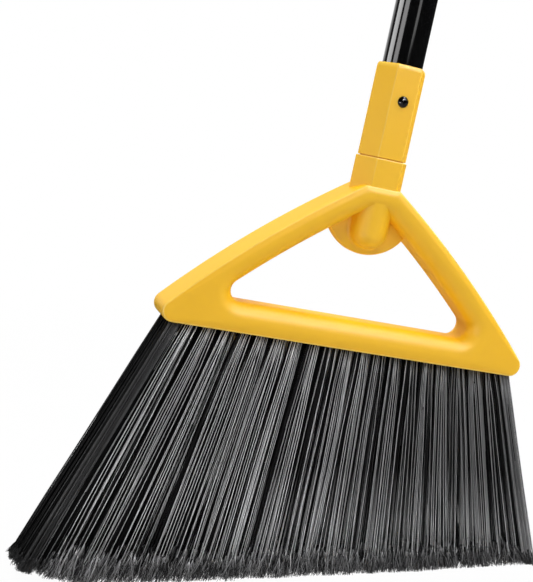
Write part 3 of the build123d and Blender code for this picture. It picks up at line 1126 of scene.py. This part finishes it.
class BROOM_OT_set_stage(bpy.types.Operator):
    """Set the white studio: floor, world, lamps and the camera of the photograph"""

    bl_idname = "broom.set_stage"
    bl_label = "Set stage"

    target = Vector((0.03, 0.0, 0.2))
    camera_place = Vector((-0.22091, -0.65710, 0.29145))
    camera_right = Vector((0.96150, -0.26484, 0.07336))
    camera_up = Vector((-0.02638, 0.17676, 0.98390))
    camera_lens = 68.87
    sensor_width = 36.0
    floor_half = 4.0
    floor_up = -0.2 * MM
    # Lamps with place, size and power: seen in the gloss of all but the handle, lights, seen in the handle's
    gloss_boxes = (
        ("Front gloss", (0.48, -0.965, 0.946), (0.55, 0.4), 15),
        ("Right gloss", (0.902, -0.611, 0.946), (0.55, 0.4), 2),
        ("High gloss", (0.604, -0.209, 1.348), (0.55, 0.4), 8),
        ("Left gloss", (-1.2, 0.2, 0.4), (0.55, 0.4), 2.6),
        ("Low front box", (-0.9, -0.95, 0.06), (1.2, 0.2), 9),
    )
    light_boxes = (
        ("Right box", (0.94, -0.128, 1.119), (0.9, 0.6), "right"),
        ("Back box", (-0.275, 0.529, 1.348), (0.55, 0.4), "back"),
        ("Left box", (-0.971, -0.364, 0.946), (0.55, 0.4), "left"),
        ("Top box", (-0.023, -0.608, 1.348), (0.55, 0.4), "top"),
        ("Front box", (0.6, -1.1, 0.45), (0.55, 0.4), "front"),
    )
    handle_strips = (
        ("Back left strip", (-0.997, 0.381, 0.69), (0.65, 0.3), 5.2),
        ("Left strip", (-0.979, -0.419, 0.7), (0.5, 0.3), 2.6),
        ("Front strip", (0.16, -1.165, 0.65), (0.28, 0.4), 0.9),
    )

    def execute(self, context):
        stage = context.scene.broom_stage
        context.scene.view_settings.view_transform = "Standard"
        self.floor(stage)
        self.world(context, stage)
        boxes = [self.lamp(*lamp) for lamp in self.gloss_boxes]
        for name, place, size, power in self.light_boxes:
            self.lamp(name, place, size, getattr(stage, power), lights=True)
        strips = [self.lamp(*lamp) for lamp in self.handle_strips]
        for lamps, state in ((strips, "INCLUDE"), (boxes, "EXCLUDE")):
            handle = bpy.data.collections.new(f"Handle {state.lower()}d")
            handle.objects.link(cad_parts["handle_coating"])
            handle.collection_objects[0].light_linking.link_state = state
            for lamp in lamps:
                lamp.light_linking.receiver_collection = handle
        self.camera(context)
        return {"FINISHED"}

    def seen_white(self, tree, path, stage):
        """Factor that is 1 where the camera looks, also through glass, and less where gloss mirrors."""
        place = add_node(tree, "SeparateXYZ", {"Vector": (add_node(tree, "TexCoord"), "Object")})
        before_broom, behind_broom = stage.mirrored_floor, stage.mirrored_floor / 6
        share = add_node(tree, "MapRange", {
            "Value": (place, "Y"), "From Min": -0.03, "From Max": 0.03,
            "To Min": before_broom, "To Max": behind_broom,
        })
        mirrored = calculated(tree, "MULTIPLY", (path, "Is Glossy Ray"), (share, "Result"))
        seen = calculated(tree, "MAXIMUM", (path, "Is Camera Ray"), mirrored)
        return calculated(tree, "MAXIMUM", seen, (path, "Is Transmission Ray"))

    def floor(self, stage):
        """White floor that shows nearly plain white, keeps a soft shadow and hides lit paint from gloss."""
        half, up = self.floor_half, self.floor_up
        mesh = bpy.data.meshes.new("floor")
        corners = [(-half, -half, up), (half, -half, up), (half, half, up), (-half, half, up)]
        mesh.from_pydata(corners, [], [(0, 1, 2, 3)])
        floor = placed("floor", mesh)
        material, tree, shader = new_material("White floor")
        tree.nodes.remove(shader)
        path = add_node(tree, "LightPath")
        grey = add_node(tree, "MapRange", {"Value": (path, "Is Glossy Ray"), "To Min": 0.7, "To Max": 0.0})
        paint = add_node(tree, "BsdfDiffuse", {"Color": (grey, "Result")})
        white = add_node(tree, "Emission")
        far = add_node(tree, "VectorMath", {0: (add_node(tree, "TexCoord"), "Object")}, operation="LENGTH")
        whiteness = add_node(tree, "MapRange", {
            "Value": (far, "Value"), "From Min": 0.3, "From Max": 1.0, "To Min": stage.floor_white,
        }, interpolation_type="SMOOTHSTEP")
        share = calculated(tree, "MULTIPLY", self.seen_white(tree, path, stage), (whiteness, "Result"))
        mix = add_node(tree, "MixShader", {0: share, 1: (paint, "BSDF"), 2: (white, "Emission")})
        feed(tree, tree.nodes["Material Output"], {"Surface": (mix, "Shader")})
        wear(floor, material)

    def world(self, context, stage):
        """World that is white to look at, dark in gloss but for what is behind the broom, and a soft fill."""
        world = bpy.data.worlds.new("Studio")
        context.scene.world = world
        world.use_nodes = True
        tree = world.node_tree
        path = add_node(tree, "LightPath")
        place = add_node(tree, "SeparateXYZ", {"Vector": (add_node(tree, "TexCoord"), "Generated")})
        behind = add_node(tree, "MapRange", {
            "Value": (place, "Y"), "From Min": 0.75, "From Max": 0.95, "To Min": 0.02, "To Max": 1.1,
        }, interpolation_type="SMOOTHSTEP")
        mirrored = add_node(tree, "Mix", {
            "Factor": (path, "Is Glossy Ray"), VALUE_A: stage.fill, VALUE_B: (behind, "Result"),
        })
        seen = calculated(tree, "MAXIMUM", (path, "Is Camera Ray"), (path, "Is Transmission Ray"))
        strength = add_node(tree, "Mix", {"Factor": seen, VALUE_A: (mirrored, MIXED_VALUE), VALUE_B: 1.0})
        feed(tree, tree.nodes["Background"], {"Color": (1, 1, 1, 1), "Strength": (strength, MIXED_VALUE)})

    def lamp(self, name, place, size, power, lights=False):
        """Rectangular soft lamp that faces the broom and only shows in its gloss, or else only lights it."""
        light = bpy.data.lights.new(name, "AREA")
        light.shape = "RECTANGLE"
        light.size, light.size_y = size
        light.energy = power
        lamp = placed(name, light)
        lamp.location = place
        lamp.rotation_euler = (self.target - Vector(place)).to_track_quat("-Z", "Y").to_euler()
        lamp.visible_camera = False
        lamp.visible_diffuse = lights
        lamp.visible_glossy = not lights
        return lamp

    def camera(self, context):
        """Camera where the photograph was taken from."""
        lens = bpy.data.cameras.new("Camera")
        lens.lens = self.camera_lens
        lens.sensor_width = self.sensor_width
        lens.clip_start = 0.01
        camera = placed("Camera", lens)
        back = self.camera_right.cross(self.camera_up)
        stand = Matrix((self.camera_right, self.camera_up, back)).transposed().to_4x4()
        stand.translation = self.camera_place
        camera.matrix_world = stand
        context.scene.camera = camera


class BROOM_PT_looks(bpy.types.Panel):
    """Lists what makes the looks of the broom"""

    bl_idname = "BROOM_PT_looks"
    bl_label = "Angle Broom"
    bl_space_type = "VIEW_3D"
    bl_region_type = "UI"
    bl_category = "Broom"

    def draw(self, context):
        for name in GROUPS:
            box = self.layout.box()
            values = getattr(context.scene, name)
            for value in values.__annotations__:
                box.prop(values, value)
        for operator in OPERATORS:
            self.layout.operator(operator.bl_idname)


GROUPS = {
    "broom_moulding": BroomMoulding,
    "broom_bristles": BroomBristles,
    "broom_finish": BroomFinish,
    "broom_stage": BroomStage,
}
OPERATORS = (
    BROOM_OT_mould_head,
    BROOM_OT_mould_ferrule,
    BROOM_OT_drill_plate,
    BROOM_OT_dress_handle,
    BROOM_OT_fit_screw,
    BROOM_OT_plant_bristles,
    BROOM_OT_set_stage,
)


def register():
    """Register the classes and hang their values on the scene."""
    for kind in (*GROUPS.values(), *OPERATORS, BROOM_PT_looks):
        bpy.utils.register_class(kind)
    for name, kind in GROUPS.items():
        setattr(bpy.types.Scene, name, bpy.props.PointerProperty(type=kind))


def unregister():
    """Take the values off the scene and unregister the classes."""
    for name in GROUPS:
        delattr(bpy.types.Scene, name)
    for kind in reversed((*GROUPS.values(), *OPERATORS, BROOM_PT_looks)):
        bpy.utils.unregister_class(kind)


def main():
    """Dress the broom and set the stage."""
    register()
    mottle_group()
    grain_group()
    bpy.ops.broom.mould_head()
    bpy.ops.broom.mould_ferrule()
    bpy.ops.broom.drill_plate()
    bpy.ops.broom.dress_handle()
    bpy.ops.broom.fit_screw()
    bpy.ops.broom.plant_bristles()
    bpy.ops.broom.set_stage()


if __name__ == "__main__":
    main()
